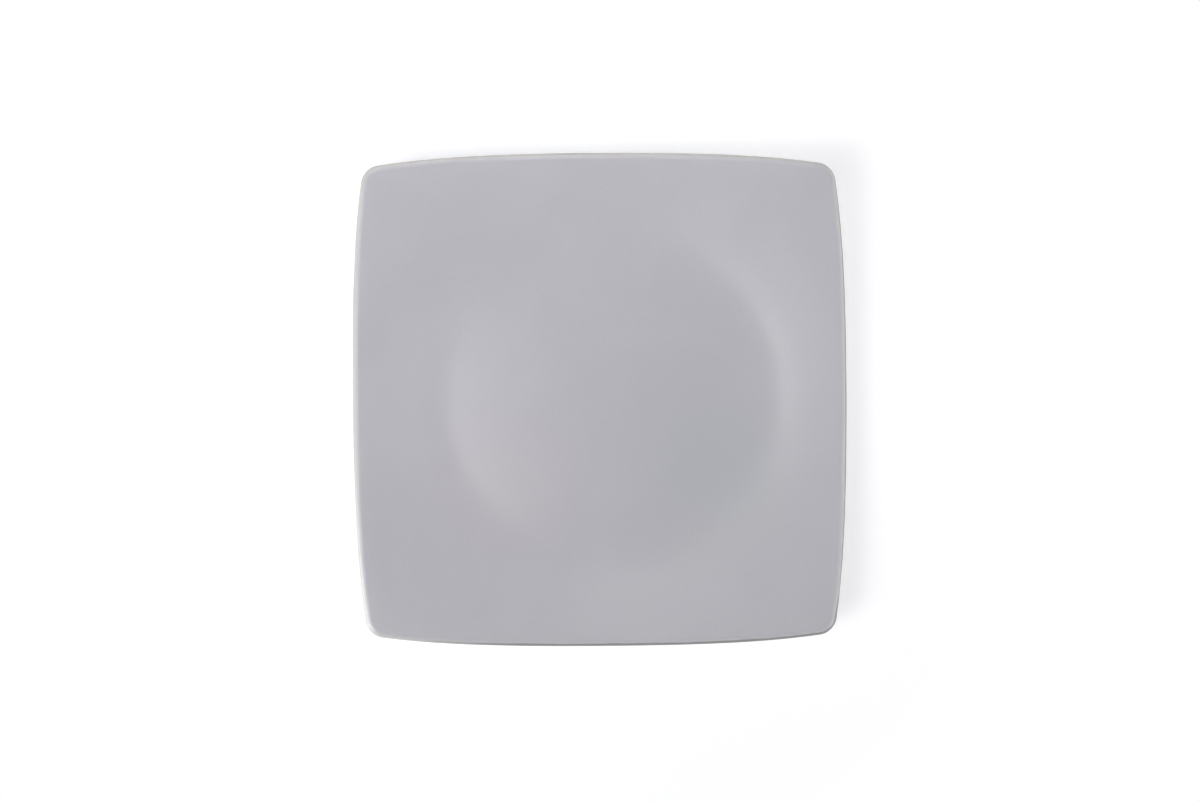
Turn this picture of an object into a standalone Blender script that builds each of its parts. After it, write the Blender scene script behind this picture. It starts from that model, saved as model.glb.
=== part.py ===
"""A square dessert plate in glazed stoneware, modelled in metres with +Z up.

The plate stands on its foot ring on the plane z = 0, with the middle of its well over the origin.
Its face is turned about Z: a flat floor, a hollow curve, a soft shoulder and a straight, rising rim.
The rim is cut to a square with bowed sides and round corners, so the corners stand highest.
The pieces are the fired clay body and the three coats of glaze on it.
The clay is bare on the standing face of the foot ring, and along a fine line on the lip, where the glaze breaks.
"""

import math

import bmesh
import bpy
from mathutils import Vector

# Outline, seen from above
PLATE_WIDTH = 0.210                      # across the middles of opposite sides
SIDE_BOW = 0.0059                        # how far a side's middle stands out past its sharp ends
SIDE_BEND = 0.46                         # share of the bow that comes near the side's ends
CORNER_RADIUS = 0.0086

# Section of the finished plate
WALL = 0.0052                            # clay and glaze together
RIM_WIDTH = 0.0253                       # from the middle of a side in to the well's edge, its steepest ring
WELL_EDGE_SLOPE = math.radians(10.5)
WELL_CURVE_WIDTH = 0.0179                # from the well's edge in to the flat floor's edge
SHOULDER_WIDTH = 0.0100                  # the soft shoulder, from the well's edge out to the straight rim
RIM_EASE = math.radians(1.4)             # how much flatter the rim is than the well's edge

# Foot ring, in clay
FOOT_HEIGHT = 0.0035                     # from the table to the glazed underside
FOOT_FACE_WIDTH = 0.003                  # the flat, bare standing face
FOOT_EDGE_RADIUS = 0.0008
FOOT_ROOT_RADIUS = 0.0016
FOOT_DRAFT = math.radians(15.0)          # lean of the foot's sides
FOOT_SETBACK = 0.0005                    # from the floor's edge in to the foot's outer root

# Glaze
GLAZE = 0.0004                           # thickness of a coat
GLAZE_GAP = 0.0003                       # clearance between a coat and the clay
LIP_LINE_WIDTH = 0.0008                  # bare clay along the lip
LIP_LINE_ANGLE = math.radians(80.0)      # its place on the lip's round, from the face
GLAZE_LINE = 0.0012                      # height on the foot ring where the coats end

# Steps round the outline and along the section
SIDE_STEPS = 12
CORNER_STEPS = 6
CURVE_STEPS = 3
SHOULDER_STEPS = 2
LIP_STEPS = 3
FOOT_STEPS = 2

HALVINGS = 40                            # rounds of halving that find where a corner starts

SMOOTH_ANGLE = math.radians(40.0)

CLAY_DEPTH = GLAZE + GLAZE_GAP
LIP_RADIUS = WALL / 2
FLOOR_TOP = FOOT_HEIGHT + WALL
WELL_EDGE_RADIUS = PLATE_WIDTH / 2 - RIM_WIDTH
WELL_FLOOR_RADIUS = WELL_EDGE_RADIUS - WELL_CURVE_WIDTH
RIM_SLOPE = WELL_EDGE_SLOPE - RIM_EASE


def side_point(along, depth):
    """A plan point of the side that faces +X, along from its middle and depth in from the outline.

    It is given as (x, y, direction), where direction is the angle of the outline's outward normal.
    """
    reach = PLATE_WIDTH / 2 - SIDE_BOW
    part = along / reach
    drop = SIDE_BOW * ((1 - SIDE_BEND) * part ** 2 + SIDE_BEND * part ** 4)
    lean = SIDE_BOW * (2 * (1 - SIDE_BEND) * part + 4 * SIDE_BEND * part ** 3) / reach
    direction = math.atan(lean)
    x = PLATE_WIDTH / 2 - drop - depth * math.cos(direction)
    return x, along - depth * math.sin(direction), direction


def side_end():
    """How far along from a side's middle its corner starts, found by halving."""
    near = 0.0
    far = PLATE_WIDTH / 2
    for _ in range(HALVINGS):
        middle = (near + far) / 2
        x, y, _ = side_point(middle, CORNER_RADIUS)
        if x > y:
            near = middle
        else:
            far = middle
    return near


def lip_centre_line():
    """Points (x, y, direction) in plan of the line that the lip's round is swept along."""
    end = side_end()
    corner, _, start = side_point(end, CORNER_RADIUS)
    quarter = [side_point(end * (2 * step / SIDE_STEPS - 1), LIP_RADIUS) for step in range(SIDE_STEPS)]
    for step in range(CORNER_STEPS):
        angle = start + (math.pi / 2 - 2 * start) * step / CORNER_STEPS
        reach = CORNER_RADIUS - LIP_RADIUS
        quarter.append((corner + reach * math.cos(angle), corner + reach * math.sin(angle), angle))

    points = []
    for turn in (0.0, math.pi / 2, math.pi, 3 * math.pi / 2):
        cosine = math.cos(turn)
        sine = math.sin(turn)
        for x, y, direction in quarter:
            points.append((x * cosine - y * sine, x * sine + y * cosine, direction + turn))
    return points


def face_stations():
    """Round stations of the face from the floor's edge to the rim, as (radius, height, slope)."""
    curve_radius = (WELL_EDGE_RADIUS - WELL_FLOOR_RADIUS) / math.sin(WELL_EDGE_SLOPE)
    stations = []
    for step in range(CURVE_STEPS + 1):
        slope = WELL_EDGE_SLOPE * step / CURVE_STEPS
        radius = WELL_FLOOR_RADIUS + curve_radius * math.sin(slope)
        height = FLOOR_TOP + curve_radius * (1 - math.cos(slope))
        stations.append((radius, height, slope))

    edge_height = stations[-1][1]
    shoulder_radius = SHOULDER_WIDTH / (math.sin(WELL_EDGE_SLOPE) - math.sin(RIM_SLOPE))
    for step in range(1, SHOULDER_STEPS + 1):
        slope = WELL_EDGE_SLOPE + (RIM_SLOPE - WELL_EDGE_SLOPE) * step / SHOULDER_STEPS
        radius = WELL_EDGE_RADIUS + shoulder_radius * (math.sin(WELL_EDGE_SLOPE) - math.sin(slope))
        height = edge_height + shoulder_radius * (math.cos(slope) - math.cos(WELL_EDGE_SLOPE))
        stations.append((radius, height, slope))
    return stations


CENTRE_LINE = lip_centre_line()
STATIONS = face_stations()


def turned_ring(radius, height):
    """A round ring with one point for each point of the lip."""
    ring = []
    for x, y, _ in CENTRE_LINE:
        scale = radius / math.hypot(x, y)
        ring.append(Vector((x * scale, y * scale, height)))
    return ring


def station_ring(station, depth):
    """The ring that lies under a station of the face, depth in from the face."""
    radius, height, slope = station
    return turned_ring(radius + depth * math.sin(slope), height - depth * math.cos(slope))


def lip_ring(angle, radius):
    """A ring on the lip's round: angle 0 is the face, and half a turn is the underside."""
    rim_radius, rim_height, _ = STATIONS[-1]
    mid_radius = rim_radius + LIP_RADIUS * math.sin(RIM_SLOPE)
    mid_height = rim_height - LIP_RADIUS * math.cos(RIM_SLOPE)
    ring = []
    for x, y, direction in CENTRE_LINE:
        reach = math.hypot(x, y)
        outward = Vector((x / reach, y / reach, 0.0))
        centre = Vector((x, y, mid_height + (reach - mid_radius) * math.tan(RIM_SLOPE)))
        normal = Vector((0.0, 0.0, math.cos(RIM_SLOPE))) - outward * math.sin(RIM_SLOPE)
        along = Vector((-math.sin(direction), math.cos(direction), 0.0))
        along.z = along.dot(outward) * math.tan(RIM_SLOPE)
        across = along.cross(normal).normalized()
        ring.append(centre + radius * (normal * math.cos(angle) + across * math.sin(angle)))
    return ring


def lip_rings(start, end, radius):
    """Rings along the lip's round from one angle to another, both included."""
    rings = []
    for step in range(LIP_STEPS + 1):
        rings.append(lip_ring(start + (end - start) * step / LIP_STEPS, radius))
    return rings


def foot_rings(side, offset, start_height=None):
    """Rings up one side of the foot ring, offset out from the clay.

    side is 1 for the outer side and -1 for the inner one.
    The rings start at the standing face, or at start_height on the side, and end on the underside.
    """
    underside = FOOT_HEIGHT + CLAY_DEPTH
    rise = 1 - math.sin(FOOT_DRAFT)
    edge_middle = FOOT_FACE_WIDTH / 2
    side_foot = edge_middle + FOOT_EDGE_RADIUS * math.cos(FOOT_DRAFT)
    side_rise = underside - (FOOT_ROOT_RADIUS + FOOT_EDGE_RADIUS) * rise
    root_middle = side_foot + side_rise * math.tan(FOOT_DRAFT) + FOOT_ROOT_RADIUS * math.cos(FOOT_DRAFT)
    ring_middle = WELL_FLOOR_RADIUS - FOOT_SETBACK - root_middle

    points = []
    if start_height is None:
        for step in range(FOOT_STEPS + 1):
            angle = math.pi / 2 + (FOOT_DRAFT - math.pi / 2) * step / FOOT_STEPS
            reach = FOOT_EDGE_RADIUS + offset
            points.append((edge_middle + reach * math.cos(angle), FOOT_EDGE_RADIUS - reach * math.sin(angle)))
    else:
        reach = side_foot + (start_height - FOOT_EDGE_RADIUS * rise) * math.tan(FOOT_DRAFT)
        points.append((reach + offset * math.cos(FOOT_DRAFT), start_height - offset * math.sin(FOOT_DRAFT)))
    for step in range(FOOT_STEPS + 1):
        angle = FOOT_DRAFT + (math.pi / 2 - FOOT_DRAFT) * step / FOOT_STEPS
        reach = FOOT_ROOT_RADIUS - offset
        points.append((root_middle - reach * math.cos(angle),
                       underside - FOOT_ROOT_RADIUS + reach * math.sin(angle)))
    return [turned_ring(ring_middle + side * across, height) for across, height in points]


def grey_glaze(name):
    """Satin mid-grey glaze with a breath of blue."""
    return material(name, (0.46, 0.455, 0.49, 1.0), 0.42)


def cream_clay(name):
    """Fired cream stoneware, bare and matt."""
    return material(name, (0.74, 0.69, 0.60, 1.0), 0.85)


def material(name, colour, roughness):
    """A Principled BSDF with one colour."""
    made = bpy.data.materials.new(name)
    made.use_nodes = True
    shader = made.node_tree.nodes["Principled BSDF"]
    shader.inputs["Base Color"].default_value = colour
    shader.inputs["Roughness"].default_value = roughness
    shader.inputs["Metallic"].default_value = 0.0
    return made


def skin_object(name, rings, start_cap, end_cap, finish, parent):
    """An object skinned over rings, which run outward over the face and back inward underneath."""
    build = bmesh.new()
    loops = [[build.verts.new(point) for point in ring] for ring in rings]
    for inner, outer in zip(loops, loops[1:]):
        for index in range(len(inner)):
            build.faces.new((inner[index - 1], outer[index - 1], outer[index], inner[index]))
    if start_cap:
        build.faces.new(loops[0])
    if end_cap:
        build.faces.new(reversed(loops[-1]))
    mesh = bpy.data.meshes.new(name)
    build.to_mesh(mesh)
    build.free()
    mesh.materials.append(finish)
    mesh.shade_smooth()
    mesh.set_sharp_from_angle(angle=SMOOTH_ANGLE)
    made = bpy.data.objects.new(name, mesh)
    bpy.context.collection.objects.link(made)
    made.parent = parent
    return made


def coat(piece):
    """Gives a sheet of glaze its thickness, inward from the finished surface."""
    solidify = piece.modifiers.new("coat", "SOLIDIFY")
    solidify.thickness = GLAZE
    solidify.offset = -1.0
    solidify.use_even_offset = True


def lip_line():
    """The two angles on the lip's round between which the clay is bare."""
    half_turn = LIP_LINE_WIDTH / 2 / LIP_RADIUS
    return LIP_LINE_ANGLE - half_turn, LIP_LINE_ANGLE + half_turn


def make_body(parent):
    """The clay: face, lip, back and foot ring as one pressing."""
    line_start, line_end = lip_line()
    clay_lip = LIP_RADIUS - CLAY_DEPTH
    rings = [station_ring(station, CLAY_DEPTH) for station in STATIONS]
    rings += lip_rings(0.0, line_start, clay_lip)
    rings += [lip_ring(line_start, LIP_RADIUS), lip_ring(line_end, LIP_RADIUS)]
    rings += lip_rings(line_end, math.pi, clay_lip)
    rings += [station_ring(station, WALL - CLAY_DEPTH) for station in reversed(STATIONS)]
    rings += reversed(foot_rings(1, 0.0))
    rings += foot_rings(-1, 0.0)
    skin_object("body", rings, True, True, cream_clay("bare_clay"), parent)


def make_face_glaze(parent):
    """The coat over the well and the rim, up to the bare line on the lip."""
    line_start, _ = lip_line()
    rings = [station_ring(station, 0.0) for station in STATIONS]
    rings += lip_rings(0.0, line_start - GLAZE_GAP / LIP_RADIUS, LIP_RADIUS)
    coat(skin_object("face_glaze", rings, True, False, grey_glaze("face_grey"), parent))


def make_underside_glaze(parent):
    """The coat from the bare line on the lip, down the back to the foot ring's outer side."""
    _, line_end = lip_line()
    rings = lip_rings(line_end + GLAZE_GAP / LIP_RADIUS, math.pi, LIP_RADIUS)
    rings += [station_ring(station, WALL) for station in reversed(STATIONS)]
    rings += reversed(foot_rings(1, CLAY_DEPTH, GLAZE_LINE))
    coat(skin_object("underside_glaze", rings, False, False, grey_glaze("underside_grey"), parent))


def make_recess_glaze(parent):
    """The coat over the recess inside the foot ring."""
    rings = foot_rings(-1, CLAY_DEPTH, GLAZE_LINE)
    coat(skin_object("recess_glaze", rings, False, True, grey_glaze("recess_grey"), parent))


def main():
    for leftover in list(bpy.data.objects):
        bpy.data.objects.remove(leftover)
    plate = bpy.data.objects.new("plate", None)
    bpy.context.collection.objects.link(plate)
    make_body(plate)
    make_face_glaze(plate)
    make_underside_glaze(plate)
    make_recess_glaze(plate)


main()
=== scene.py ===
"""Looks of the square dessert plate: its clay, its coats of satin grey glaze, and the stage it is seen on.

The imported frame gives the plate's place and main sizes. Each solid of the frame is replaced by a finer mesh
of the same form, whose coats lie on the clay and thin out along the lip, as fired glaze does.
All lengths are in metres, with +Z up and the foot ring standing on z = 0.
"""

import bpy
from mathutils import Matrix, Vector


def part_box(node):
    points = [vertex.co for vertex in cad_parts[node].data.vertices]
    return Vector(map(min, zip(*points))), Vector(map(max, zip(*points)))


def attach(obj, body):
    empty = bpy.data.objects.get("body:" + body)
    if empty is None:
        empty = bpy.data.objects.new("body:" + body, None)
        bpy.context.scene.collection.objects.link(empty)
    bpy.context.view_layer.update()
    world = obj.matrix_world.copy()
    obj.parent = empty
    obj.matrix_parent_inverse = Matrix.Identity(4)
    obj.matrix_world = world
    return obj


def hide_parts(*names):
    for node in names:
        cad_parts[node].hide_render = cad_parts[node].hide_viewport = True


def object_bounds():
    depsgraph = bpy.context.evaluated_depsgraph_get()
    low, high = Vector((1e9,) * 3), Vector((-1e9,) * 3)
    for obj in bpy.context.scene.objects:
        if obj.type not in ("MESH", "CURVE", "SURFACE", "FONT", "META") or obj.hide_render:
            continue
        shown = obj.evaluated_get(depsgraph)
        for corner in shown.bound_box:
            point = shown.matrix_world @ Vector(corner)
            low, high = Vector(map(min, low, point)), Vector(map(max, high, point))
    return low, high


bl_info = {
    "name": "Square dessert plate",
    "version": (1, 0, 0),
    "blender": (4, 5, 0),
    "location": "3D View > Sidebar > Plate",
    "description": "Builds a glazed stoneware plate round its frame, and the stage it is seen on",
    "category": "Object",
}

import math
from collections import namedtuple

import bmesh
import bpy
from bpy.props import FloatProperty, FloatVectorProperty, PointerProperty
from mathutils import Matrix, Quaternion, Vector, noise

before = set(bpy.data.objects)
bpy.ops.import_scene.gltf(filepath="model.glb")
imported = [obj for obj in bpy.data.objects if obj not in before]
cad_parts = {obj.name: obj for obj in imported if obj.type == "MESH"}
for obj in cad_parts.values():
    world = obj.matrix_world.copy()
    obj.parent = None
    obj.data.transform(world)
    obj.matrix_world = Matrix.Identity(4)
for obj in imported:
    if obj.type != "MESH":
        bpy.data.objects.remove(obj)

CAD_LOW, CAD_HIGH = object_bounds()
COAT = 0.0004                               # thickness of a coat of glaze in the frame
FLOOR_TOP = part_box("face_glaze")[0].z + COAT
FOOT_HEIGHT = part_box("recess_glaze")[1].z - COAT

# Steps round the outline and along the section
SIDE_STEPS = 36
CORNER_STEPS = 16
FLOOR_STEPS = 12
CURVE_STEPS = 15
SHOULDER_STEPS = 6
RIM_STEPS = 12
LIP_STEPS = 14
FOOT_STEPS = 6
BEAD_STEPS = 8
STAGE_SQUARES = 8                           # squares along a side of the stage's floor
HALVINGS = 40                               # rounds of halving that find where a corner starts
HIDDEN_STRIDE = 3                           # surfaces that nothing shows take every third step
FIRST_RING = 0.25                           # the innermost ring's place, as a share of a step
SMOOTH_ANGLE = math.radians(50.0)

# Glaze and clay at the lip
SINK = 0.00005                              # how far a coat's back lies inside the clay
CLAY_RISE = 4                               # the power that sets how late the clay comes up to the bare line
LIP_FADE = math.radians(85.0)               # the glaze thins over this much of the lip's round
THIN_HIGHLIGHT_FROM_TO = (0.85, 0.25)                 # the glaze pales between these covers, partly as a painted highlight on the lip
SHADE_LINE_FROM_TO = (0.18, 0.02)                # it turns to a painted dark shade line between these
SHADED_SIDE = (1.0, -0.9, 0.0)                # the way to the side of the lip where shade is painted
SHADED_FROM_TO = (0.0, 0.06)                  # the painted shade starts and is full this far along that way
NEAR_SHADE_FROM_TO = (-0.080, -0.097)             # the painted shade line widens between these places along Y, on the near side
NEAR_SHADE_WIDER = 0.30                           # it widens there by this much cover

# Waves of noise: how many to a metre, or to the radius of a turn for the glaze's edge, the level that the
# noise is cut at, and their strength
Wave = namedtuple("Wave", "count level strength")
WARP_WAVES = (Wave(14.0, 0.37, 1.0), Wave(45.0, 5.10, 0.35))
EDGE_WAVES = (Wave(2.2, 3.7, 1.0), Wave(9.0, 1.3, 0.4))

# Grains of the glaze and of the clay: how many to a metre, and how many rounds of finer ones they carry
Grain = namedtuple("Grain", "count detail")
CLOUDS = Grain(28.0, 3.0)
GLOSS = Grain(60.0, 3.0)
FILM = Grain(70.0, 3.0)
PEEL = Grain(320.0, 3.0)
POWDER = Grain(1400.0, 2.0)
SATIN = Grain(2600.0, 2.0)
CLEARINGS = Grain(60.0, 3.0)
RUBBING = Grain(140.0, 4.0)
SAND = Grain(900.0, 4.0)
FINE_SAND = Grain(2200.0, 3.0)

# The noise values between which such a grain comes to show
CLOUD_FROM_TO = (0.30, 0.70)
POWDER_FROM_TO = (0.35, 0.80)
CLEARING_FROM_TO = (0.40, 0.70)
RUBBING_FROM_TO = (0.30, 0.65)
SAND_FROM_TO = (0.35, 0.75)

# How far the clouds are swirled, how uneven the film and the gloss of the glaze are, how much smoother
# rubbed clay is, and how high or deep the finer parts of a relief are beside its main grain
CLOUD_SWIRL = 0.6
FILM_UNEVEN = 0.25
GLOSS_UNEVEN = 0.05
RUBBED_SMOOTHER = 0.25
SATIN_HEIGHT = 0.25
PINHOLE_DEPTH = 0.6
FINE_SAND_HEIGHT = 0.5

# Dots: how many cells to a metre, radius as a share of a cell, and the share of the cells that have one
Dots = namedtuple("Dots", "count radius kept")
PINHOLES = Dots(420.0, 0.10, 0.06)
IRON = Dots(700.0, 0.22, 0.06)

# Soft round patches where the glaze drifts in colour, and specks that stand out on the face, as places from
# the middle and radii in metres
Drift = namedtuple("Drift", "x y radius")
PINK_DRIFT = Drift(-0.040, -0.034, 0.050)
# partly painted shade: the green drift is darker than the glaze, for the shade at the well's lower right
GREEN_SHADE_DRIFT = Drift(0.048, -0.026, 0.062)
Speck = namedtuple("Speck", "x y radius dark")
SPECKS = (
    Speck(0.0224, -0.0893, 0.0005, True),
    Speck(-0.0112, -0.0459, 0.0005, True),
    Speck(0.0398, 0.0863, 0.0005, True),
    Speck(0.0810, -0.0922, 0.0006, False),
    Speck(-0.0167, -0.0587, 0.0005, False),
)

# Lamps: direction in degrees round from +X and up from the floor, distance and width in metres, the
# brightness that the lamp gives a level white sheet in the plate's place, and whether it casts a shadow
Lamp = namedtuple("Lamp", "name azimuth elevation distance width level shadow")
LAMPS = (
    Lamp("key_lamp", 212.0, 47.0, 1.48, 0.67, 0.364, True),
    Lamp("high_key_lamp", 202.0, 74.0, 0.54, 0.14, 0.064, True),
    Lamp("crest_lamp", 203.0, 73.0, 1.50, 0.25, 0.010, True),
    Lamp("high_right_lamp", -4.0, 66.0, 1.50, 0.50, 0.066, True),
    Lamp("high_far_lamp", 97.0, 74.0, 1.60, 0.45, 0.034, True),
    Lamp("far_fill_lamp", 109.0, 31.0, 0.40, 0.36, 0.207, False),
    Lamp("far_right_fill_lamp", 75.0, 40.0, 0.35, 0.30, 0.066, False),
    Lamp("right_fill_lamp", 10.0, 10.0, 0.70, 0.35, 0.036, False),
    Lamp("near_right_fill_lamp", -34.0, 10.0, 0.70, 0.35, 0.034, False),
    Lamp("right_lip_lamp", -20.0, 12.0, 0.42, 0.25, 0.022, False),
    Lamp("left_fill_lamp", 205.0, 10.0, 0.50, 0.30, 0.073, False),
)

# Places of the sockets of a Mix node that is set to colours
MIX_FACTOR = 0
MIX_A = 6
MIX_B = 7
MIX_RESULT = 2


def length(name, description, default):
    """A property that holds a length."""
    return FloatProperty(name=name, description=description, default=default, unit="LENGTH", precision=5)


def angle(name, description, degrees):
    """A property that holds an angle."""
    return FloatProperty(name=name, description=description, default=math.radians(degrees), unit="ROTATION")


def share(name, description, default):
    """A property that holds a number from 0 to 1."""
    limits = {"min": 0.0, "max": 1.0, "subtype": "FACTOR"}
    return FloatProperty(name=name, description=description, default=default, **limits)


def number(name, description, default):
    """A property that holds a plain number."""
    return FloatProperty(name=name, description=description, default=default, precision=4)


def colour(name, description, default):
    """A property that holds a colour."""
    limits = {"min": 0.0, "max": 1.0, "subtype": "COLOR"}
    return FloatVectorProperty(name=name, description=description, default=default, **limits)


class PlateSizes(bpy.types.PropertyGroup):
    """Sizes of the plate."""

    width: length("Width", "Across the middles of opposite sides", CAD_HIGH.x - CAD_LOW.x)
    side_bow: length("Side bow", "How far a side's middle stands out past its sharp ends", 0.0059)
    side_bend: share("Side bend", "Share of the bow that comes near the side's ends", 0.46)
    corner_radius: length("Corner radius", "Radius of the four corners, seen from above", 0.0086)
    wall: length("Wall", "Thickness of clay and glaze together", FLOOR_TOP - FOOT_HEIGHT)
    rim_width: length("Rim width", "From a side's middle in to the well's edge, its steepest ring", 0.0253)
    edge_slope: angle("Well slope", "Slope of the well's edge", 10.5)
    curve_width: length("Well curve", "From the well's edge in to the flat floor's edge", 0.0179)
    shoulder_width: length("Shoulder", "From the well's edge over the soft shoulder to the rim", 0.0100)
    rim_ease: angle("Rim ease", "How much flatter the rim is than the well's edge", 1.4)
    foot_height: length("Foot height", "From the table to the glazed underside", FOOT_HEIGHT)
    foot_face: length("Foot face", "Width of the foot ring's standing face", 0.003)
    foot_edge: length("Foot edge", "Radius of the standing face's edges", 0.0008)
    foot_root: length("Foot root", "Radius where the foot ring meets the underside", 0.0016)
    foot_draft: angle("Foot draft", "Lean of the foot ring's sides", 15.0)
    foot_setback: length("Foot setback", "From the floor's edge in to the foot ring's outer root", 0.0005)
    coat: length("Coat", "Depth from the finished surface to the clay", 0.0007)
    lip_line: length("Lip line", "Width of the line along the lip where the glaze breaks to clay", 0.0007)
    lip_line_angle: angle("Lip line angle", "Place of that line on the lip's round, from the face", 80.0)
    bead: length("Bead", "Radius of the glaze's rolled edge at the foot ring", 0.00025)
    glaze_line: length("Glaze line", "Height on the foot ring where the glaze ends", 0.0012)
    glaze_wander: length("Glaze wander", "How far that line wanders up and down", 0.0003)
    warp: length("Warp", "Height of the slow unevenness left by the firing", 0.00010)


class PlateFinish(bpy.types.PropertyGroup):
    """Colours and surfaces of the plate."""

    glaze: colour("Glaze", "The grey of the glaze", (0.438, 0.432, 0.472))
    glaze_light: colour("Light glaze", "The lighter grey that it clouds to", (0.452, 0.446, 0.486))
    glaze_pink: colour("Pink drift", "The faint pink that it drifts to", (0.464, 0.432, 0.476))
    # a faint green tint, darker than the glaze as painted shade at the well's lower right
    glaze_green_shade: colour("Green drift and shade", "The faint green that it drifts to, darkened as painted shade", (0.404, 0.420, 0.446))
    glaze_pale: colour("Pale glaze", "Pale grains and specks in the glaze", (0.62, 0.61, 0.61))
    # paler glaze over the lip: partly real thinning, partly a painted highlight along the lip
    glaze_thin_and_highlight: colour("Thin glaze and highlight", "The glaze where it thins over the lip, paler in part as a painted highlight", (0.54, 0.53, 0.54))
    # painted shade: a dark line along the lip's near and right sides, which face away from the key lamp
    glaze_shade_line: colour("Shaded lip line", "Painted shade: the dark line along the lip's near and right sides", (0.25, 0.25, 0.26))
    glaze_speck: colour("Dark speck", "Dark specks in the glaze", (0.22, 0.21, 0.21))
    # the green part of this drift carries painted shade
    glaze_drift_and_shade: share("Drift", "How far it drifts to pink and to green, the green with painted shade", 0.6)
    glaze_powder: share("Powder", "How much its pale grains show", 0.10)
    glaze_pinholes: share("Pinholes", "How much its pinholes show", 0.30)
    glaze_specks: share("Specks", "How much the specks on the face show", 0.35)
    glaze_roughness: share("Glaze roughness", "Satin of the glaze", 0.245)
    glaze_index: number("Glaze index", "Refractive index of the glaze", 1.6)
    glaze_bump: share("Glaze bump", "How much the relief of the glaze shows", 0.25)
    glaze_relief: length("Glaze relief", "Height of the relief of the glaze", 0.00004)
    clay: colour("Clay", "The bare fired clay", (0.70, 0.62, 0.50))
    clay_dark: colour("Dark clay", "Its darker grains", (0.50, 0.42, 0.32))
    clay_iron: colour("Iron", "Iron specks in the clay", (0.20, 0.12, 0.07))
    # painted shade: the bare line darkened on the lip's near and right sides
    clay_shade_line: colour("Shaded bare line", "Painted shade on the bare line at the lip's near and right sides", (0.23, 0.22, 0.215))
    clay_worn: colour("Worn clay", "The standing face where it has rubbed on tables", (0.56, 0.51, 0.45))
    clay_clearing: share("Clearing", "How far the darker grains clear away in patches", 0.5)
    clay_specks: share("Clay specks", "How much the iron specks show", 0.75)
    # how much shade is painted on the bare line
    clay_shade_share: share("Bare line shade", "How much painted shade darkens the bare line", 0.8)
    clay_wear: share("Wear", "How far the standing face is worn", 0.7)
    clay_roughness: share("Clay roughness", "Roughness of the bare clay", 0.88)
    clay_index: number("Clay index", "Refractive index of the clay", 1.45)
    clay_bump: share("Clay bump", "How much the relief of the clay shows", 0.5)
    clay_relief: length("Clay relief", "Height of the relief of the clay", 0.0001)


class PlateStage(bpy.types.PropertyGroup):
    """Camera, floor and room."""

    distance: length("Distance", "From the camera to the middle of the lip", 1.2045)
    lens: number("Lens", "Focal length in millimetres", 85.0)
    tilt: angle("Tilt", "How far the camera leans from straight down", 2.8)
    aside: length("Aside", "How far the camera stands to the right of the plate's middle", 0.00015)
    roll: angle("Roll", "How far the plate is turned in the picture", 0.40)
    floor_width: length("Floor width", "Width of the floor", 12.0)
    floor_glow: share("Floor glow", "How much of the floor's white doesn't change with the shadow", 0.505)
    floor_tint: colour("Floor tint", "The faint blue of the floor in the shadow", (0.97, 0.97, 1.0))
    floor_lit: share("Floor lit", "How much of the floor's white the shadow can take away", 0.61)
    floor_fade_start: length("Floor fade start", "From the middle to where plain white begins", 0.16)
    floor_fade_end: length("Floor fade end", "From the middle to where the floor is all plain white", 0.215)
    floor_drop: length("Floor drop", "How far the floor lies under the foot ring", 0.0001)
    floor_bounce: share("Floor bounce", "How much light the floor sends back to the plate", 0.80)
    ambient: share("Ambient", "Brightness of the room", 0.03)


class Link:
    """A shader socket that takes part in Python arithmetic by adding Math nodes to its tree."""

    def __init__(self, tree, socket=None):
        self.tree = tree
        self.socket = socket

    def node(self, kind, settings=None, inputs=None, output=0):
        """Adds a node, sets it up, fills or links its inputs, and gives one of its outputs."""
        made = self.tree.nodes.new(kind)
        for name, value in (settings or {}).items():
            setattr(made, name, value)
        for name, value in (inputs or {}).items():
            if isinstance(value, Link):
                self.tree.links.new(value.socket, made.inputs[name])
            else:
                made.inputs[name].default_value = value
        return Link(self.tree, made.outputs[output] if made.outputs else None)

    def sibling(self, output):
        """Another output of the same node."""
        return Link(self.tree, self.socket.node.outputs[output])

    def math(self, operation, *values):
        """A Math node on these values."""
        return self.node("ShaderNodeMath", {"operation": operation}, dict(enumerate(values)))

    def ramp(self, low, high):
        """0 up to low and 1 from high on, with a smooth step between. high may lie below low."""
        inputs = {"Value": self, "From Min": low, "From Max": high}
        return self.node("ShaderNodeMapRange", {"interpolation_type": "SMOOTHSTEP"}, inputs)

    def mix(self, first, second):
        """A colour that goes from first to second as this value goes from 0 to 1."""
        inputs = {MIX_FACTOR: self, MIX_A: first, MIX_B: second}
        return self.node("ShaderNodeMix", {"data_type": "RGBA"}, inputs, MIX_RESULT)

    def __add__(self, other):
        return self.math("ADD", self, other)

    def __radd__(self, other):
        return self.math("ADD", other, self)

    def __sub__(self, other):
        return self.math("SUBTRACT", self, other)

    def __rsub__(self, other):
        return self.math("SUBTRACT", other, self)

    def __mul__(self, other):
        return self.math("MULTIPLY", self, other)

    def __rmul__(self, other):
        return self.math("MULTIPLY", other, self)


def opaque(tint):
    """A colour with full alpha, as sockets take it."""
    return tint[0], tint[1], tint[2], 1.0


def grey(level):
    """An opaque grey."""
    return level, level, level, 1.0


def new_material(name):
    """An empty node material, with a link to start its nodes from."""
    made = bpy.data.materials.new(name)
    made.use_nodes = True
    made.node_tree.nodes.clear()
    return made, Link(made.node_tree)


def grain(place, kind, swirl=0.0):
    """Noise of a kind of grain, as a value from 0 to 1."""
    inputs = {"Vector": place, "Scale": kind.count, "Detail": kind.detail, "Distortion": swirl}
    return place.node("ShaderNodeTexNoise", None, inputs)


def uneven(place, kind):
    """Noise of a kind of grain, as a value that goes as far below 0 as above it."""
    return grain(place, kind) - 0.5


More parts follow.
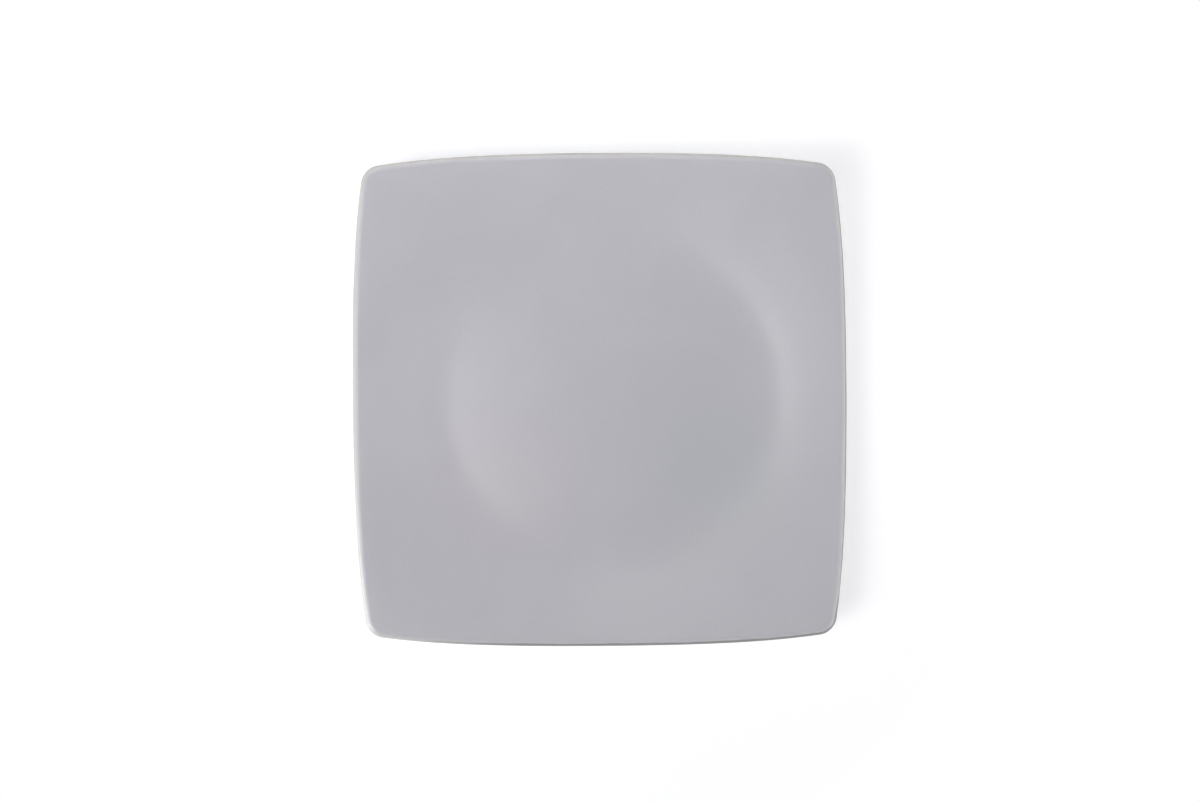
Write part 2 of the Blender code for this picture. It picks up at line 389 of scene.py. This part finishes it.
def dots(place, kind):
    """Round dots of a kind, 1 inside and 0 outside."""
    away = place.node("ShaderNodeTexVoronoi", None, {"Vector": place, "Scale": kind.count})
    chance = place.node("ShaderNodeSeparateColor", None, {"Color": away.sibling("Color")})
    return away.ramp(kind.radius, kind.radius / 2) * chance.math("LESS_THAN", chance, kind.kept)


def patch(plan, spot):
    """A soft round patch on a spot of the plan, 1 in its middle and 0 at its radius."""
    inputs = {0: plan, 1: (spot.x, spot.y, 0.0)}
    away = plan.node("ShaderNodeVectorMath", {"operation": "DISTANCE"}, inputs, "Value")
    return away.ramp(spot.radius, 0.0)


def lip_shade_share(place):
    """How much shade is painted on the lip here: none at left and far, all at near and right."""
    inputs = {0: place, 1: SHADED_SIDE}
    along = place.node("ShaderNodeVectorMath", {"operation": "DOT_PRODUCT"}, inputs, "Value")
    return along.ramp(*SHADED_FROM_TO)


def glaze_material(name, finish, specks):
    """Satin grey glaze: clouded, specked, lighter on the lip as thin glaze and painted highlight, with
    painted shade.
    """
    made, start = new_material(name)
    place = start.node("ShaderNodeTexCoord", output="Object")
    plan = start.node("ShaderNodeVectorMath", {"operation": "MULTIPLY"}, {0: place, 1: (1.0, 1.0, 0.0)})
    cover = start.node("ShaderNodeAttribute", {"attribute_name": "cover"}, output="Fac")

    clouds = grain(place, CLOUDS, CLOUD_SWIRL).ramp(*CLOUD_FROM_TO)
    tone = clouds.mix(opaque(finish.glaze), opaque(finish.glaze_light))
    tone = (finish.glaze_drift_and_shade * patch(plan, PINK_DRIFT)).mix(tone, opaque(finish.glaze_pink))
    # partly painted shade: the green drift is darker, standing in for the shade at the well's lower right
    tone = (finish.glaze_drift_and_shade * patch(plan, GREEN_SHADE_DRIFT)).mix(tone, opaque(finish.glaze_green_shade))
    powder = grain(place, POWDER).ramp(*POWDER_FROM_TO)
    tone = (finish.glaze_powder * powder).mix(tone, opaque(finish.glaze_pale))
    pinholes = dots(place, PINHOLES)
    tone = (finish.glaze_pinholes * pinholes).mix(tone, opaque(finish.glaze_speck))
    for speck in specks:
        speck_tone = finish.glaze_speck if speck.dark else finish.glaze_pale
        tone = (finish.glaze_specks * patch(plan, speck)).mix(tone, opaque(speck_tone))
    film = cover + FILM_UNEVEN * uneven(place, FILM)
    # partly painted highlight: the thin glaze over the lip is paler
    tone = film.ramp(*THIN_HIGHLIGHT_FROM_TO).mix(tone, opaque(finish.glaze_thin_and_highlight))
    # painted shade: a dark line along the lip's near and right sides, wider on the near side
    near = start.node("ShaderNodeSeparateXYZ", None, {"Vector": place}, "Y").ramp(*NEAR_SHADE_FROM_TO)
    glaze_shade_mask = (film - NEAR_SHADE_WIDER * near).ramp(*SHADE_LINE_FROM_TO)
    tone = (glaze_shade_mask * lip_shade_share(place)).mix(tone, opaque(finish.glaze_shade_line))

    height = grain(place, PEEL) + SATIN_HEIGHT * grain(place, SATIN) - PINHOLE_DEPTH * pinholes
    relief = {"Height": height, "Strength": finish.glaze_bump, "Distance": finish.glaze_relief}
    shader = start.node("ShaderNodeBsdfPrincipled", None, {
        "Base Color": tone,
        "Roughness": finish.glaze_roughness + GLOSS_UNEVEN * uneven(place, GLOSS),
        "IOR": finish.glaze_index,
        "Normal": start.node("ShaderNodeBump", None, relief),
    })
    start.node("ShaderNodeOutputMaterial", None, {"Surface": shader})
    return made


def clay_material(name, finish):
    """Bare stoneware: sandy, specked with iron, with painted shade on the lip's near and right sides, and
    rubbed where it stands.
    """
    made, start = new_material(name)
    place = start.node("ShaderNodeTexCoord", output="Object")
    wear = start.node("ShaderNodeAttribute", {"attribute_name": "wear"}, output="Fac")

    sand = grain(place, SAND)
    tone = sand.ramp(*SAND_FROM_TO).mix(opaque(finish.clay), opaque(finish.clay_dark))
    clearings = grain(place, CLEARINGS).ramp(*CLEARING_FROM_TO)
    tone = (finish.clay_clearing * clearings).mix(tone, opaque(finish.clay))
    tone = (finish.clay_specks * dots(place, IRON)).mix(tone, opaque(finish.clay_iron))
    up = start.node("ShaderNodeSeparateXYZ", None, {"Vector": place}, "Z")
    # painted shade: the bare line on the lip's near and right sides is darkened
    clay_shade_mask = finish.clay_shade_share * up.ramp(FOOT_HEIGHT, FLOOR_TOP) * lip_shade_share(place)
    tone = clay_shade_mask.mix(tone, opaque(finish.clay_shade_line))
    rubbed = wear * grain(place, RUBBING).ramp(*RUBBING_FROM_TO)
    tone = (finish.clay_wear * rubbed).mix(tone, opaque(finish.clay_worn))

    height = sand + FINE_SAND_HEIGHT * grain(place, FINE_SAND)
    relief = {"Height": height, "Strength": finish.clay_bump, "Distance": finish.clay_relief}
    shader = start.node("ShaderNodeBsdfPrincipled", None, {
        "Base Color": tone,
        "Roughness": finish.clay_roughness - RUBBED_SMOOTHER * rubbed,
        "IOR": finish.clay_index,
        "Normal": start.node("ShaderNodeBump", None, relief),
    })
    start.node("ShaderNodeOutputMaterial", None, {"Surface": shader})
    return made


def waves(plan, kinds, side=1):
    """The sum of these kinds of waves at a place in plan. Each side has waves of its own."""
    total = 0.0
    for kind in kinds:
        total += kind.strength * noise.noise(plan * kind.count + Vector((0.0, 0.0, side * kind.level)))
    return total


class PlateForm:
    """The plate's surfaces as rings of points, worked out from its sizes."""

    def __init__(self, sizes):
        self.sizes = sizes
        self.lip_radius = sizes.wall / 2
        self.floor_top = sizes.foot_height + sizes.wall
        self.clay_underside = sizes.foot_height + sizes.coat
        self.edge_radius = sizes.width / 2 - sizes.rim_width
        self.floor_radius = self.edge_radius - sizes.curve_width
        self.rim_slope = sizes.edge_slope - sizes.rim_ease
        half_line = sizes.lip_line / 2 / self.lip_radius
        self.line_start = sizes.lip_line_angle - half_line
        self.line_end = sizes.lip_line_angle + half_line
        self.measure_foot()
        self.centre_line = self.lip_centre_line()
        self.stations = self.face_stations()

    def measure_foot(self):
        """Works out the foot ring's section, across from its middle."""
        sizes = self.sizes
        self.corner_rise = 1 - math.sin(sizes.foot_draft)
        self.side_foot = sizes.foot_face / 2 + sizes.foot_edge * math.cos(sizes.foot_draft)
        side_rise = self.clay_underside - (sizes.foot_root + sizes.foot_edge) * self.corner_rise
        side_run = side_rise * math.tan(sizes.foot_draft)
        self.root_middle = self.side_foot + side_run + sizes.foot_root * math.cos(sizes.foot_draft)
        self.foot_radius = self.floor_radius - sizes.foot_setback - self.root_middle
        self.recess_radius = self.foot_radius - self.root_middle

    def side_point(self, along, depth):
        """A plan point of the side facing +X, as (x, y, outward direction), depth in from the outline."""
        sizes = self.sizes
        reach = sizes.width / 2 - sizes.side_bow
        part = along / reach
        drop = sizes.side_bow * ((1 - sizes.side_bend) * part ** 2 + sizes.side_bend * part ** 4)
        lean = sizes.side_bow * (2 * (1 - sizes.side_bend) * part + 4 * sizes.side_bend * part ** 3) / reach
        direction = math.atan(lean)
        x = sizes.width / 2 - drop - depth * math.cos(direction)
        return x, along - depth * math.sin(direction), direction

    def side_end(self):
        """How far along from a side's middle its corner starts, found by halving."""
        near = 0.0
        far = self.sizes.width / 2
        for _ in range(HALVINGS):
            middle = (near + far) / 2
            x, y, _ = self.side_point(middle, self.sizes.corner_radius)
            if x > y:
                near = middle
            else:
                far = middle
        return near

    def lip_centre_line(self):
        """Points (x, y, outward direction) in plan of the line that the lip's round is swept along."""
        end = self.side_end()
        corner, _, start = self.side_point(end, self.sizes.corner_radius)
        reach = self.sizes.corner_radius - self.lip_radius
        quarter = []
        for step in range(SIDE_STEPS):
            quarter.append(self.side_point(end * (2 * step / SIDE_STEPS - 1), self.lip_radius))
        for step in range(CORNER_STEPS):
            turn = start + (math.pi / 2 - 2 * start) * step / CORNER_STEPS
            quarter.append((corner + reach * math.cos(turn), corner + reach * math.sin(turn), turn))

        points = []
        for count in range(4):
            quarter_turn = count * math.pi / 2
            spin = Matrix.Rotation(quarter_turn, 2)
            for x, y, direction in quarter:
                plan = spin @ Vector((x, y))
                points.append((plan.x, plan.y, direction + quarter_turn))
        return points

    def face_stations(self):
        """Round stations of the face from the floor's edge to the rim, as (radius, height, slope)."""
        edge_slope = self.sizes.edge_slope
        curve_radius = (self.edge_radius - self.floor_radius) / math.sin(edge_slope)
        stations = []
        for step in range(CURVE_STEPS + 1):
            slope = edge_slope * step / CURVE_STEPS
            radius = self.floor_radius + curve_radius * math.sin(slope)
            height = self.floor_top + curve_radius * (1 - math.cos(slope))
            stations.append((radius, height, slope))

        edge_height = stations[-1][1]
        shoulder_radius = self.sizes.shoulder_width / (math.sin(edge_slope) - math.sin(self.rim_slope))
        for step in range(1, SHOULDER_STEPS + 1):
            slope = edge_slope - self.sizes.rim_ease * step / SHOULDER_STEPS
            radius = self.edge_radius + shoulder_radius * (math.sin(edge_slope) - math.sin(slope))
            height = edge_height + shoulder_radius * (math.cos(slope) - math.cos(edge_slope))
            stations.append((radius, height, slope))
        return stations

    def turned_ring(self, radius, height):
        """A round ring with one point for each point of the lip."""
        ring = []
        for x, y, _ in self.centre_line:
            scale = radius / math.hypot(x, y)
            ring.append(Vector((x * scale, y * scale, height)))
        return ring

    def disc_rings(self, radius, height, stride=1):
        """Level rings from near the middle to just short of a radius."""
        steps = FLOOR_STEPS // stride
        return [self.turned_ring(radius * (step + FIRST_RING) / steps, height) for step in range(steps)]

    def lip_ring(self, turn, radius):
        """A ring on the lip's round: turn 0 is the face, and half a turn is the underside."""
        rim_radius, rim_height, slope = self.stations[-1]
        middle_radius = rim_radius + self.lip_radius * math.sin(slope)
        middle_height = rim_height - self.lip_radius * math.cos(slope)
        ring = []
        for x, y, direction in self.centre_line:
            reach = math.hypot(x, y)
            outward = Vector((x / reach, y / reach, 0.0))
            centre = Vector((x, y, middle_height + (reach - middle_radius) * math.tan(slope)))
            normal = Vector((0.0, 0.0, math.cos(slope))) - outward * math.sin(slope)
            along = Vector((-math.sin(direction), math.cos(direction), 0.0))
            along.z = along.dot(outward) * math.tan(slope)
            across = along.cross(normal).normalized()
            ring.append(centre + radius * (normal * math.cos(turn) + across * math.sin(turn)))
        return ring

    def wall_rings(self, depth, stride=1):
        """Rings from the floor's edge out to the lip's round, depth in from the face."""
        rings = []
        for radius, height, slope in self.stations[::stride]:
            out = depth * math.sin(slope)
            down = depth * math.cos(slope)
            rings.append(self.turned_ring(radius + out, height - down))
        turn = 0.0 if depth < self.lip_radius else math.pi
        end = self.lip_ring(turn, abs(self.lip_radius - depth))
        steps = RIM_STEPS // stride
        start = rings[-1]
        for step in range(1, steps):
            rings.append([a.lerp(b, step / steps) for a, b in zip(start, end)])
        return rings

    def lip_rings(self, start, end, sunk=0.0):
        """Rings of the lip's round between two turns, the second one at the bare line.

        With sunk, they follow the clay instead, which lies that deep and rises to the surface at the line.
        """
        rings = []
        for step in range(LIP_STEPS + 1):
            part = step / LIP_STEPS
            radius = self.lip_radius - sunk * (1 - part ** CLAY_RISE)
            rings.append(self.lip_ring(start + (end - start) * part, radius))
        return rings

    def root_rings(self, side, offset):
        """Rings up the round between the foot ring and the underside, offset out from the clay.

        side is 1 for the outer side of the foot ring and -1 for the inner one.
        """
        sizes = self.sizes
        reach = sizes.foot_root - offset
        rings = []
        for step in range(FOOT_STEPS + 1):
            turn = sizes.foot_draft + (math.pi / 2 - sizes.foot_draft) * step / FOOT_STEPS
            across = self.root_middle - reach * math.cos(turn)
            height = self.clay_underside - sizes.foot_root + reach * math.sin(turn)
            rings.append(self.turned_ring(self.foot_radius + side * across, height))
        return rings

    def edge_rings(self, side):
        """Clay rings round one edge of the standing face, from the face up."""
        sizes = self.sizes
        rings = []
        for step in range(FOOT_STEPS + 1):
            turn = math.pi / 2 + (sizes.foot_draft - math.pi / 2) * step / FOOT_STEPS
            across = sizes.foot_face / 2 + sizes.foot_edge * math.cos(turn)
            height = sizes.foot_edge * (1 - math.sin(turn))
            rings.append(self.turned_ring(self.foot_radius + side * across, height))
        return rings

    def bead_rings(self, side):
        """Rings round the glaze's rolled edge on the foot ring, from the clay outward."""
        sizes = self.sizes
        rings = []
        for step in range(BEAD_STEPS + 1):
            turn = math.pi * (step / BEAD_STEPS - 0.5)
            up = sizes.bead * (1 - math.cos(turn))
            out = sizes.bead * (1 + math.sin(turn))
            rings.append([self.bead_point(side, x, y, up, out) for x, y, _ in self.centre_line])
        return rings

    def bead_point(self, side, x, y, up, out):
        """A point of the rolled edge, up from the wandering glaze line and out from the foot ring's clay."""
        sizes = self.sizes
        outward = Vector((x, y, 0.0)).normalized()
        height = sizes.glaze_line + sizes.glaze_wander * waves(outward, EDGE_WAVES, side) + up
        run = (height - sizes.foot_edge * self.corner_rise) * math.tan(sizes.foot_draft)
        across = self.side_foot + run + out * math.cos(sizes.foot_draft)
        point = outward * (self.foot_radius + side * across)
        point.z = height - out * math.sin(sizes.foot_draft)
        return point

    def settled(self, point):
        """Where the firing left a point, with a slow unevenness in height."""
        sizes = self.sizes
        weight = min(max((point.z - sizes.foot_height) / sizes.wall, 0.0), 1.0)
        wave = waves(Vector((point.x, point.y, 0.0)), WARP_WAVES)
        return Vector((point.x, point.y, point.z + sizes.warp * weight * wave))


def even(rings, amount):
    """Rings paired with the same amount."""
    return [(ring, amount) for ring in rings]


def back(rings):
    """Rings in the other order."""
    return list(reversed(rings))


def thinning(rings, turned):
    """Rings of the lip's round paired with how thick the glaze lies, down to none at the last."""
    return [(ring, min(turned / LIP_FADE * (1 - step / LIP_STEPS), 1.0)) for step, ring in enumerate(rings)]


def skin_piece(form, name, rings, middle_closed, layer, finish):
    """A closed mesh skinned over rings, given as (points, amount), with the amounts kept in an attribute.

    With middle_closed, the first and last rings close to a point; without, the last ring joins the first.
    """
    build = bmesh.new()
    amounts = build.verts.layers.float.new(layer)

    def add_point(point, amount):
        vert = build.verts.new(form.settled(point))
        vert[amounts] = amount
        return vert

    loops = [[add_point(point, amount) for point in ring] for ring, amount in rings]
    pairs = list(zip(loops, loops[1:]))
    if not middle_closed:
        pairs.append((loops[-1], loops[0]))
    for near, far in pairs:
        for index in range(len(near)):
            build.faces.new((near[index - 1], far[index - 1], far[index], near[index]))
    if middle_closed:
        for loop, (ring, amount) in ((loops[0], rings[0]), (loops[-1], rings[-1])):
            middle = add_point(Vector((0.0, 0.0, ring[0].z)), amount)
            for index in range(len(loop)):
                build.faces.new((middle, loop[index - 1], loop[index]))
    bmesh.ops.recalc_face_normals(build, faces=build.faces)

    mesh = bpy.data.meshes.new(name)
    build.to_mesh(mesh)
    build.free()
    mesh.materials.append(finish)
    mesh.shade_smooth()
    mesh.set_sharp_from_angle(angle=SMOOTH_ANGLE)
    piece = bpy.data.objects.new(name, mesh)
    bpy.context.scene.collection.objects.link(piece)
    return piece


def place_piece(piece, node):
    """Puts a finished piece in the frame, in place of the solid that it stands for."""
    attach(piece, "root")
    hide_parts(node)


class PLATE_OT_clay_body(bpy.types.Operator):
    """Builds the fired clay, which shows along the lip and on the foot ring"""

    bl_idname = "plate.clay_body"
    bl_label = "Clay body"

    def execute(self, context):
        sizes = context.scene.plate_sizes
        form = PlateForm(sizes)
        rings = even(form.disc_rings(form.floor_radius, form.floor_top - sizes.coat, HIDDEN_STRIDE), 0.0)
        rings += even(form.wall_rings(sizes.coat, HIDDEN_STRIDE), 0.0)
        rings += even(form.lip_rings(0.0, form.line_start, sizes.coat), 0.0)
        rings += even(back(form.lip_rings(math.pi, form.line_end, sizes.coat)), 0.0)
        rings += even(back(form.wall_rings(sizes.wall - sizes.coat, HIDDEN_STRIDE)), 0.0)
        rings += even(back(form.root_rings(1, 0.0)), 0.0)
        rings += even(back(form.edge_rings(1)), 1.0)
        rings += even(form.edge_rings(-1), 1.0)
        rings += even(form.root_rings(-1, 0.0), 0.0)
        rings += even(back(form.disc_rings(form.recess_radius, form.clay_underside, HIDDEN_STRIDE)), 0.0)

        finish = clay_material("bare_clay", context.scene.plate_finish)
        piece = skin_piece(form, "clay_body", rings, True, "wear", finish)
        place_piece(piece, "body")
        return {"FINISHED"}


class PLATE_OT_face_coat(bpy.types.Operator):
    """Builds the coat of glaze over the well and the rim, up to the bare line on the lip"""

    bl_idname = "plate.face_coat"
    bl_label = "Face coat"

    def execute(self, context):
        sizes = context.scene.plate_sizes
        form = PlateForm(sizes)
        sunk = sizes.coat + SINK
        rings = even(form.disc_rings(form.floor_radius, form.floor_top), 1.0)
        rings += even(form.wall_rings(0.0), 1.0)
        rings += thinning(form.lip_rings(0.0, form.line_start), form.line_start)
        rings += even(back(form.lip_rings(0.0, form.line_start, sunk))[1:], 0.0)
        rings += even(back(form.wall_rings(sunk, HIDDEN_STRIDE)), 1.0)
        rings += even(back(form.disc_rings(form.floor_radius, form.floor_top - sunk, HIDDEN_STRIDE)), 1.0)

        finish = glaze_material("face_grey", context.scene.plate_finish, SPECKS)
        piece = skin_piece(form, "face_coat", rings, True, "cover", finish)
        place_piece(piece, "face_glaze")
        return {"FINISHED"}


class PLATE_OT_back_coats(bpy.types.Operator):
    """Builds the two coats of glaze on the back, outside and inside the foot ring"""

    bl_idname = "plate.back_coats"
    bl_label = "Back coats"

    def execute(self, context):
        form = PlateForm(context.scene.plate_sizes)
        self.make_underside(form, context.scene.plate_finish)
        self.make_recess(form, context.scene.plate_finish)
        return {"FINISHED"}

    def make_underside(self, form, finish):
        """The coat from the bare line on the lip, down the back to the foot ring's outer side."""
        sizes = form.sizes
        sunk = sizes.coat + SINK
        rings = back(thinning(form.lip_rings(math.pi, form.line_end), math.pi - form.line_end))
        rings += even(back(form.wall_rings(sizes.wall)), 1.0)
        rings += even(back(form.root_rings(1, sizes.coat)), 1.0)
        rings += even(back(form.bead_rings(1)), 1.0)
        rings += even(form.root_rings(1, -SINK), 1.0)
        rings += even(form.wall_rings(sizes.wall - sunk, HIDDEN_STRIDE), 1.0)
        rings += even(form.lip_rings(math.pi, form.line_end, sunk)[:-1], 0.0)
        finish = glaze_material("underside_grey", finish, ())
        piece = skin_piece(form, "underside_coat", rings, False, "cover", finish)
        place_piece(piece, "underside_glaze")

    def make_recess(self, form, finish):
        """The coat over the recess inside the foot ring."""
        sizes = form.sizes
        rings = even(form.disc_rings(form.recess_radius, sizes.foot_height), 1.0)
        rings += even(back(form.root_rings(-1, sizes.coat)), 1.0)
        rings += even(back(form.bead_rings(-1)), 1.0)
        rings += even(form.root_rings(-1, -SINK), 1.0)
        hidden = form.disc_rings(form.recess_radius, form.clay_underside + SINK, HIDDEN_STRIDE)
        rings += even(back(hidden), 1.0)
        finish = glaze_material("recess_grey", finish, ())
        piece = skin_piece(form, "recess_coat", rings, True, "cover", finish)
        place_piece(piece, "recess_glaze")


class PLATE_OT_stage(bpy.types.Operator):
    """Lays the white floor and sets up the room, the lamps and the camera"""

    bl_idname = "plate.stage"
    bl_label = "Stage"

    def execute(self, context):
        stage = context.scene.plate_stage
        self.lay_floor(context.scene, stage)
        self.light_room(context.scene, stage)
        for lamp in LAMPS:
            self.hang_lamp(context.scene, lamp)
        self.place_camera(context.scene, stage)
        context.scene.view_settings.view_transform = "Standard"
        return {"FINISHED"}

    def seen_directly(self, start):
        """1 for what the camera sees, straight or by gloss or through glass, and 0 for light sent on."""
        path = start.node("ShaderNodeLightPath", output="Is Camera Ray")
        return path + path.sibling("Is Glossy Ray") + path.sibling("Is Transmission Ray")

    def lay_floor(self, scene, stage):
        """A white floor, most of whose white stays in the shadow."""
        made, start = new_material("floor_white")
        tint = opaque(stage.floor_tint)
        glow = start.node("ShaderNodeEmission", None, {"Color": tint, "Strength": stage.floor_glow})
        lit = start.node("ShaderNodeBsdfDiffuse", None, {"Color": grey(stage.floor_lit)})
        near = start.node("ShaderNodeAddShader", None, {0: glow, 1: lit})
        far = start.node("ShaderNodeEmission", None, {"Color": grey(1.0), "Strength": 1.0})
        place = start.node("ShaderNodeTexCoord", output="Object")
        away = start.node("ShaderNodeVectorMath", {"operation": "LENGTH"}, {0: place}, "Value")
        fade = away.ramp(stage.floor_fade_start, stage.floor_fade_end)
        shown = start.node("ShaderNodeMixShader", None, {0: fade, 1: near, 2: far})
        bounce = start.node("ShaderNodeBsdfDiffuse", None, {"Color": grey(stage.floor_bounce)})
        shares = {0: self.seen_directly(start), 1: bounce, 2: shown}
        surface = start.node("ShaderNodeMixShader", None, shares)
        start.node("ShaderNodeOutputMaterial", None, {"Surface": surface})

        build = bmesh.new()
        half = stage.floor_width / 2
        bmesh.ops.create_grid(build, x_segments=STAGE_SQUARES, y_segments=STAGE_SQUARES, size=half)
        mesh = bpy.data.meshes.new("floor")
        build.to_mesh(mesh)
        build.free()
        mesh.materials.append(made)
        floor = bpy.data.objects.new("floor", mesh)
        floor.location.z = -stage.floor_drop
        scene.collection.objects.link(floor)

    def light_room(self, scene, stage):
        """A dim room that looks white."""
        scene.world = bpy.data.worlds.new("room")
        scene.world.use_nodes = True
        scene.world.node_tree.nodes.clear()
        start = Link(scene.world.node_tree)
        dim = start.node("ShaderNodeBackground", None, {"Color": grey(1.0), "Strength": stage.ambient})
        white = start.node("ShaderNodeBackground", None, {"Color": grey(1.0), "Strength": 1.0})
        surface = start.node("ShaderNodeMixShader", None, {0: self.seen_directly(start), 1: dim, 2: white})
        start.node("ShaderNodeOutputWorld", None, {"Surface": surface})

    def hang_lamp(self, scene, lamp):
        """A square soft lamp that faces the plate.

        A lamp without a shadow is sampled from its own side alone, or the plate would block a part of it.
        """
        azimuth = math.radians(lamp.azimuth)
        elevation = math.radians(lamp.elevation)
        away = Vector((math.cos(azimuth), math.sin(azimuth), math.tan(elevation))).normalized()
        light = bpy.data.lights.new(lamp.name, "AREA")
        light.size = lamp.width
        light.use_shadow = lamp.shadow
        light.cycles.use_multiple_importance_sampling = lamp.shadow
        light.energy = lamp.level * math.pi ** 2 * lamp.distance ** 2 / math.sin(elevation)
        hung = bpy.data.objects.new(lamp.name, light)
        hung.location = away * lamp.distance
        hung.rotation_euler = away.to_track_quat("Z", "Y").to_euler()
        hung.visible_camera = False
        scene.collection.objects.link(hung)

    def place_camera(self, scene, stage):
        """A camera nearly straight above, leaning from the far side."""
        lip = Vector((stage.aside, 0.0, PlateForm(scene.plate_sizes).stations[-1][1]))
        away = Vector((0.0, math.sin(stage.tilt), math.cos(stage.tilt)))
        lens = bpy.data.cameras.new("camera")
        lens.lens = stage.lens
        camera = bpy.data.objects.new("camera", lens)
        camera.location = lip + away * stage.distance
        upright = Quaternion((1.0, 0.0, 0.0), -stage.tilt)
        camera.rotation_euler = (upright @ Quaternion((0.0, 0.0, 1.0), -stage.roll)).to_euler()
        scene.collection.objects.link(camera)
        scene.camera = camera


class VIEW3D_PT_plate(bpy.types.Panel):
    """Lists the steps and sizes of the plate"""

    bl_label = "Square dessert plate"
    bl_space_type = "VIEW_3D"
    bl_region_type = "UI"
    bl_category = "Plate"

    def draw(self, context):
        for step in STEPS:
            self.layout.operator(step.bl_idname)
        for group in (context.scene.plate_sizes, context.scene.plate_finish, context.scene.plate_stage):
            box = self.layout.box()
            for name in group.__annotations__:
                box.prop(group, name)


GROUPS = {"plate_sizes": PlateSizes, "plate_finish": PlateFinish, "plate_stage": PlateStage}
STEPS = (PLATE_OT_clay_body, PLATE_OT_face_coat, PLATE_OT_back_coats, PLATE_OT_stage)


def register():
    for group in GROUPS.values():
        bpy.utils.register_class(group)
    for step in STEPS:
        bpy.utils.register_class(step)
    bpy.utils.register_class(VIEW3D_PT_plate)
    for name, group in GROUPS.items():
        setattr(bpy.types.Scene, name, PointerProperty(type=group))


def unregister():
    for name in GROUPS:
        delattr(bpy.types.Scene, name)
    bpy.utils.unregister_class(VIEW3D_PT_plate)
    for step in reversed(STEPS):
        bpy.utils.unregister_class(step)
    for group in reversed(GROUPS.values()):
        bpy.utils.unregister_class(group)


def main():
    register()
    bpy.ops.plate.clay_body()
    bpy.ops.plate.face_coat()
    bpy.ops.plate.back_coats()
    bpy.ops.plate.stage()


if __name__ == "__main__":
    main()
